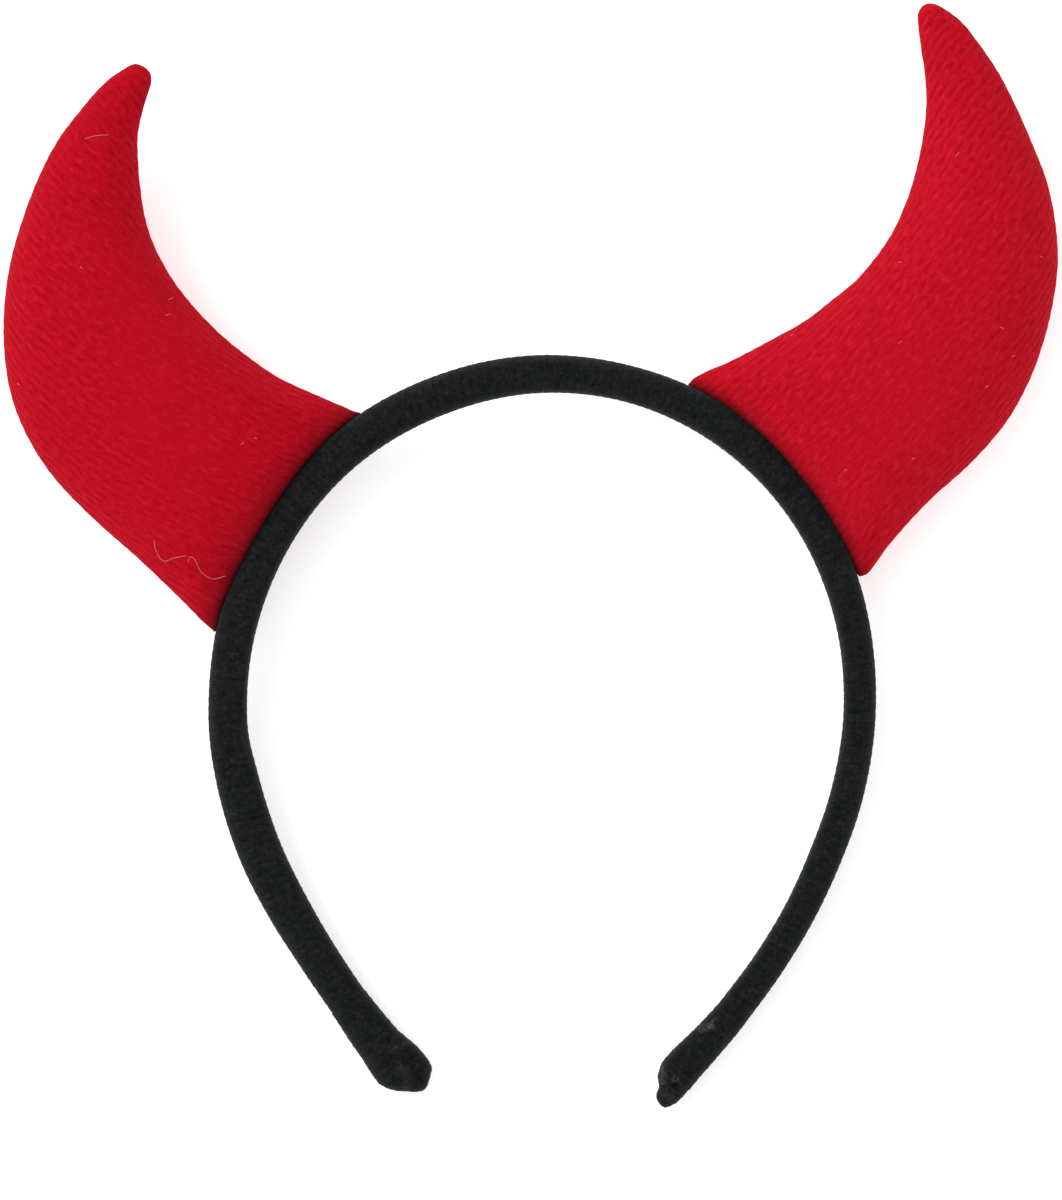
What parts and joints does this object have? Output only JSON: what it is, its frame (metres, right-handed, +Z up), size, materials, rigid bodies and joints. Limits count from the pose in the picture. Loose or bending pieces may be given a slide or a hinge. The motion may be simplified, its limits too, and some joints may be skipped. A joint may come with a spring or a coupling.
{
  "type": "devil horns headband",
  "caption": "Fabric-covered hoop headband, open at the bottom, with a stuffed curved fabric horn standing out from each side of its crown.",
  "frame": {"origin": "middle of the bounding box at its base, on the surface that the headband lies on", "axes": "+X from the left horn to the right horn as the picture shows them, +Y from the arms' ends to the horns' tips, +Z up out of the front"},
  "size_m": [0.2052, 0.2146, 0.0264],
  "materials": {
    "black_ribbed_fabric": "matt ribbed knit",
    "red_brushed_fabric": "matt brushed ribbed knit"
  },
  "bodies": {
    "root": {"headband": "black_ribbed_fabric", "horn_left": "red_brushed_fabric", "horn_right": "red_brushed_fabric"}
  },
  "joints": []
}
